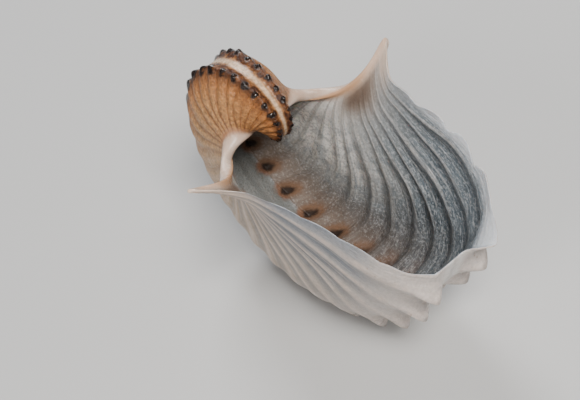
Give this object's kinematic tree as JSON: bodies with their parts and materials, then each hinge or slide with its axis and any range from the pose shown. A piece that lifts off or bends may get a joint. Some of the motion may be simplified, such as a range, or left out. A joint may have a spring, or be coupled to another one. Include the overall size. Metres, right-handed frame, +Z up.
{
  "type": "paper nautilus shell",
  "caption": "Thin boat-shaped coiled seashell with a wide keel between two rows of tubercles, ribbed sides, a rolled inner lip and a pointed ear on each side of the opening.",
  "frame": {"origin": "middle of the bounding box, on the surface the shell rests on", "axes": "+Z up, +X along the length from the coiled spire to the growing lip, +Y to one side across the keel"},
  "size_m": [0.0972, 0.066, 0.0647],
  "materials": {
    "shell": "satin"
  },
  "bodies": {
    "root": {"shell": "shell"}
  },
  "joints": []
}
